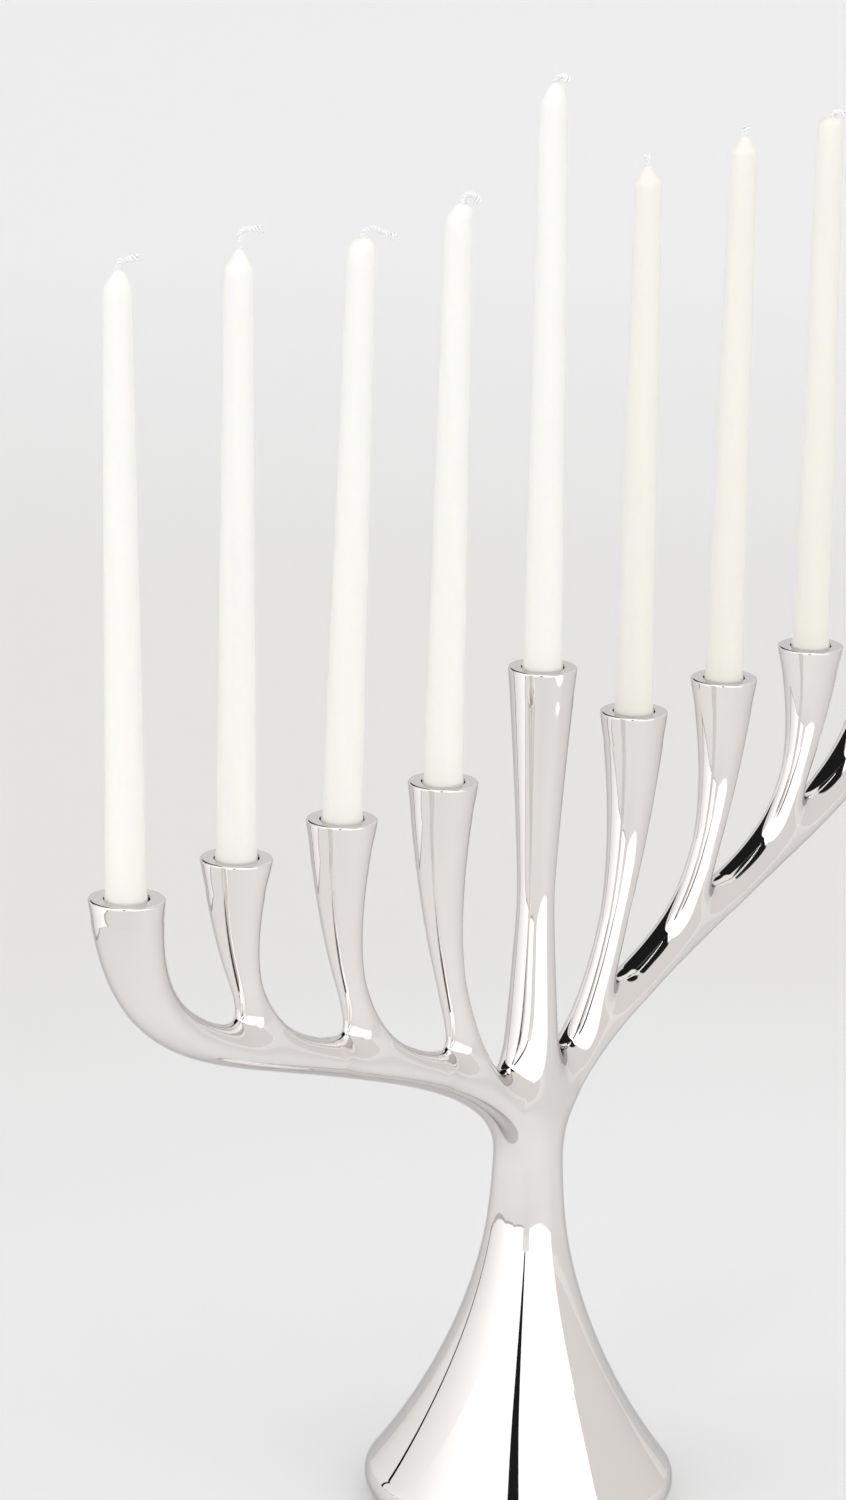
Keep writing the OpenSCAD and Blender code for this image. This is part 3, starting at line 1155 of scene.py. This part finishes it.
def make_candle(candle, seed, waxes, cotton):
    """A candle and its wick, which both ride on the candle's body."""
    random = np.random.default_rng(seed)
    white, cream = waxes
    wax = cream if CANDLE_NODES.index(candle) > MIDDLE else white
    taper = candle_mesh(candle, random)
    make_piece(f"{candle}_taper", taper, candle, candle, wax)
    wick = wick_node(candle)
    strands = wick_mesh(candle, random)
    make_piece(f"{wick}_cotton", strands, candle, wick, cotton)


def make_pad(material):
    """A felt disc with a soft, slightly ragged cut edge."""
    random = np.random.default_rng(PAD_SEED)
    angle = ring_angles(PAD_SIDES)
    ragged = np.convolve(random.normal(size=PAD_SIDES), np.ones(3) / 3, mode="same")
    top = PAD_THICKNESS
    lower = [(PAD_RADIUS * share, 0) for share in (0.3, 0.6, 0.85, 0.97)]
    lower.append((PAD_RADIUS - 0.15, 0.1))
    upper = [(radius, top - z) for radius, z in reversed(lower)]
    rings = []
    for radius, z in lower + [(PAD_RADIUS, top / 2)] + upper:
        edge = smooth_step((radius / PAD_RADIUS - 0.9) / 0.1)
        wall = radius - PAD_RAGGEDNESS * np.abs(ragged) * edge
        columns = [wall * np.cos(angle), wall * np.sin(angle), np.full(PAD_SIDES, z)]
        rings.append(np.column_stack(columns))
    disc = closed_tube(rings, [0, 0, 0], [0, 0, top])
    make_piece("felt_pad", disc, MENORAH_BODY, PAD_NODE, material)


# ---- Studio: floor, light and camera ----

FLOOR_SIZE = 60.0
CAMERA_AZIMUTH = -54.914  # degrees and metres, as the photo's own camera was fitted
CAMERA_ELEVATION = 15.953
CAMERA_ROLL = 1.4545
CAMERA_DISTANCE = 1.62036
CAMERA_AIM = (-0.05006, 0.0, 0.20764)
LENS = 162.55

# The studio round the object, in degrees. Azimuths run from its front, positive to the right.
FRONT_HEADING = -144.9
PANEL_LEFT = -114.5
PANEL_LEFT_SWING = 17
PANEL_LEFT_DECAY = 6
PANEL_GREY_TO = -55
PANEL_GREY_SOFT = 35
PANEL_RIGHT = 73
SIDE_RIGHT = 138
GAP_AZIMUTH = -1
GAP_SWING = 5.5
GAP_SWING_TOP = 70
GAP_WIDTH = 1.3
GAP_SPREAD = 0.085
SEAM_HALF = 0.9
EDGE_SOFT = 0.6
LINE_SOFT = 0.3
OVERHEAD_FROM = 68
# Unlit parts of the ceiling behind the camera: from and to azimuth, and lowest elevation.
CEILINGS = [(-181, -122, 20), (80, 181, 62)]
CEILING_SOFT = 3
STUDIO_STRENGTH = 1.08
WALL = (0.84, 0.84, 0.835)
SIDE_WALL = (0.72, 0.70, 0.69)
PANEL = (1.2, 1.2, 1.21)
PANEL_GREY = (0.80, 0.80, 0.805)
PANEL_EDGE = (0.85, 0.62, 0.54)
PANEL_EDGE_HALF = 0.35
PANEL_EDGE_SOFT = 0.2
OVERHEAD = (2.0, 2.0, 2.0)
DARK = (0.012, 0.012, 0.013)
SKIRTING = (0.50, 0.46, 0.44)

# Feet of the two panels on the floor, in metres, seen only in reflections.
CARD_HEIGHT = 0.22
LEFT_CARD = [(-0.078, 0.362), (-0.44, 0.22), (-0.62, -0.02), (-0.58, -0.30)]
LEFT_CARD_EDGE = [(-0.064, 0.365), (-0.078, 0.362)]
RIGHT_CARD = [(-0.50, -0.48), (0.157, -0.48)]
SKIRTING_HEIGHT = 0.006


def make_floor():
    half = FLOOR_SIZE / 2
    corners = [(-half, -half, 0), (half, -half, 0), (half, half, 0), (-half, half, 0)]
    make_object("floor", corners, [(0, 1, 2, 3)], floor_material())


def card_material(name, foot, boards, bottom):
    """Lit board that changes tone from end to end, with a thin line along its bottom."""
    material, light, tree = new_material(name, "Emission")
    x, _, z = parts_of(tree, object_position(tree))
    along = mapped(tree, x, From_Min=foot[0][0], From_Max=foot[-1][0])
    board = ramp(tree, along, list(enumerate(boards)))
    below = calculate(tree, "LESS_THAN", z, SKIRTING_HEIGHT)
    colour = laid_over(tree, board, below, bottom)
    set_inputs(light, Color=colour, Strength=STUDIO_STRENGTH)
    return material


def make_card(name, foot, boards, bottom):
    """An upright card along a line on the floor, for the reflections only."""
    corners = [(x, y, z) for z in (0.0, CARD_HEIGHT) for x, y in foot]
    count = len(foot)
    faces = [(i, i + 1, count + i + 1, count + i) for i in range(count - 1)]
    card = make_object(name, corners, faces, card_material(name, foot, boards, bottom))
    for ray in ("camera", "diffuse", "shadow", "transmission"):
        setattr(card, "visible_" + ray, False)


def make_camera():
    data = bpy.data.cameras.new("camera")
    data.lens = LENS
    data.clip_start = 0.05
    data.clip_end = 100
    camera = bpy.data.objects.new("camera", data)
    bpy.context.scene.collection.objects.link(camera)
    azimuth = math.radians(CAMERA_AZIMUTH)
    elevation = math.radians(CAMERA_ELEVATION)
    back = Vector((math.sin(azimuth) * math.cos(elevation),
                   -math.cos(azimuth) * math.cos(elevation), math.sin(elevation)))
    turn = (-back).to_track_quat("-Z", "Y")
    roll = Matrix.Rotation(math.radians(CAMERA_ROLL), 3, "Z")
    camera.rotation_mode = "QUATERNION"
    camera.rotation_quaternion = (turn.to_matrix() @ roll).to_quaternion()
    camera.location = Vector(CAMERA_AIM) + back * CAMERA_DISTANCE
    bpy.context.scene.camera = camera


def sky_angles(tree):
    """Azimuth from the studio's front, positive to the right, and elevation, in degrees."""
    way = add_node(tree, "TexCoord").outputs["Generated"]
    turn = add_node(tree, "VectorRotate")
    turn.rotation_type = "Z_AXIS"
    set_inputs(turn, Vector=way, Angle=math.radians(-FRONT_HEADING))
    x, y, z = parts_of(tree, turn.outputs["Vector"])
    angles = calculate(tree, "ARCTAN2", y, x), calculate(tree, "ARCSINE", z)
    return [calculate(tree, "MULTIPLY", angle, math.degrees(1)) for angle in angles]


def panel_masks(tree, azimuth, elevation):
    """The two lit panels, the grey at their left, and the dark line down their left side."""
    fall = calculate(tree, "DIVIDE", elevation, -PANEL_LEFT_DECAY)
    swing = calculate(tree, "MULTIPLY", calculate(tree, "EXPONENT", fall), PANEL_LEFT_SWING)
    inside = calculate(tree, "SUBTRACT", azimuth, PANEL_LEFT)
    inside = calculate(tree, "SUBTRACT", inside, swing)
    beyond = rises(tree, azimuth, PANEL_RIGHT, EDGE_SOFT)
    lit = calculate(tree, "SUBTRACT", rises(tree, inside, 0, EDGE_SOFT), beyond)
    white = rises(tree, azimuth, (PANEL_LEFT + PANEL_GREY_TO) / 2, PANEL_GREY_SOFT)
    grey = calculate(tree, "MULTIPLY", lit, calculate(tree, "SUBTRACT", 1, white))
    return lit, grey, between(tree, inside, -SEAM_HALF, SEAM_HALF, LINE_SOFT)


def gap_mask(tree, azimuth, elevation):
    """The gap between the panels, which bends and widens on its way up."""
    bend = calculate(tree, "MULTIPLY", elevation, math.pi / GAP_SWING_TOP)
    bend = calculate(tree, "SINE", bend)
    offset = calculate(tree, "MULTIPLY_ADD", bend, GAP_SWING, azimuth)
    offset = calculate(tree, "SUBTRACT", offset, GAP_AZIMUTH)
    half = calculate(tree, "MULTIPLY_ADD", elevation, GAP_SPREAD, GAP_WIDTH)
    return calculate(tree, "LESS_THAN", calculate(tree, "ABSOLUTE", offset), half)


def make_world():
    """White panels with a gap between them, pale walls, and an unlit ceiling behind."""
    world = bpy.data.worlds.new("studio")
    world.use_nodes = True
    tree = world.node_tree
    azimuth, elevation = sky_angles(tree)
    wall = add_node(tree, "RGB")
    wall.outputs["Color"].default_value = (*WALL, 1)
    light = wall.outputs["Color"]
    lit, grey, seam = panel_masks(tree, azimuth, elevation)
    side = between(tree, azimuth, PANEL_RIGHT, SIDE_RIGHT, EDGE_SOFT)
    off_edge = calculate(tree, "SUBTRACT", azimuth, PANEL_RIGHT)
    edge = between(tree, off_edge, -PANEL_EDGE_HALF, PANEL_EDGE_HALF, PANEL_EDGE_SOFT)
    gap = gap_mask(tree, azimuth, elevation)
    above_floor = rises(tree, elevation, 0.5, 0.5)
    standing = [
        (lit, PANEL), (grey, PANEL_GREY), (side, SIDE_WALL),
        (edge, PANEL_EDGE), (gap, DARK), (seam, DARK),
    ]
    for mask, colour in standing:
        shown = calculate(tree, "MULTIPLY", mask, above_floor)
        light = laid_over(tree, light, shown, colour)
    light = laid_over(tree, light, rises(tree, elevation, OVERHEAD_FROM, 4), OVERHEAD)
    for low, high, start in CEILINGS:
        wide = between(tree, azimuth, low, high, CEILING_SOFT)
        dark = calculate(tree, "MULTIPLY", wide, rises(tree, elevation, start, 2))
        light = laid_over(tree, light, dark, DARK)
    set_inputs(tree.nodes["Background"], Color=light, Strength=STUDIO_STRENGTH)
    bpy.context.scene.world = world


def make_menorah():
    metal = metal_material()
    shape, normals = make_casting()
    casting = make_piece("menorah_casting", shape, MENORAH_BODY, CASTING_NODE,
                         metal)
    casting.data.normals_split_custom_set_from_vertices(normals.tolist())
    make_pad(felt_material())
    waxes = [
        wax_material("white_wax", WHITE_WAX, WHITE_WAX_FOOT),
        wax_material("cream_wax", CREAM_WAX, CREAM_WAX_FOOT),
    ]
    cotton = cotton_material()
    for seed, candle in enumerate(CANDLE_NODES):
        make_candle(candle, seed + CANDLE_SEED, waxes, cotton)


make_menorah()
make_floor()
make_card("left_panel_foot", LEFT_CARD, [PANEL_GREY, PANEL], SKIRTING)
make_card("left_panel_edge", LEFT_CARD_EDGE, [DARK, DARK], DARK)
make_card("right_panel_foot", RIGHT_CARD, [PANEL, PANEL], PANEL)
make_world()
make_camera()
bpy.context.scene.view_settings.view_transform = "Standard"
